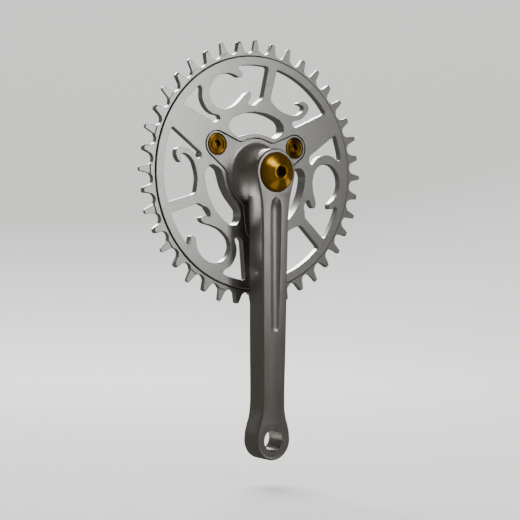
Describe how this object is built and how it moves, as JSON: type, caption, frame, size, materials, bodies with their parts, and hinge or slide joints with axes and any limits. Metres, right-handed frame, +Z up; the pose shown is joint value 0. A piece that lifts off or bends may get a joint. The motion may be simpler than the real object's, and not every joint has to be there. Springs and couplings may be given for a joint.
{
  "type": "bicycle crankset drive side",
  "caption": "Drive-side crank arm with a narrow-wide chainring, scrollwork windows, a three-lobed spider, a pedal eye, and a captive fixing bolt behind a domed extractor cap",
  "frame": {"origin": "the middle plane of the chainring's teeth, on the spindle's axis, in the square socket", "axes": "+Y runs along the spindle towards the bicycle's frame, so the outer faces look towards -Y; +Z is up, with the arm hanging down to its pedal eye; +X is to the right as seen from outside"},
  "size_m": [0.1724, 0.0388, 0.269],
  "materials": {
    "satin_aluminium": "brushed satin, along the arm",
    "blasted_aluminium": "fine bead blast with bright chamfered edges",
    "gold_anodised": "turned and anodised gold",
    "dark_steel": "plain zinc-phosphate steel",
    "black_rubber": "moulded, matt",
    "natural_nylon": "moulded, off-white"
  },
  "bodies": {
    "crank": {"crank_arm": "satin_aluminium", "chainring": "blasted_aluminium", "chainring_bolt_1": "gold_anodised", "chainring_bolt_2": "gold_anodised", "chainring_bolt_3": "gold_anodised", "chainring_nut_1": "gold_anodised", "chainring_nut_2": "gold_anodised", "extractor_cap": "gold_anodised", "cap_seal": "black_rubber", "cap_slip_ring": "natural_nylon", "crank_bolt_washer": "dark_steel"},
    "fixing_bolt": {"crank_bolt": "dark_steel"}
  },
  "joints": [
    {"name": "crank_bolt_turn", "type": "hinge", "parent": "crank", "child": "fixing_bolt", "pos_m": [0, -0.013, 0], "axis": [0, 1, 0], "continuous": true}
  ]
}
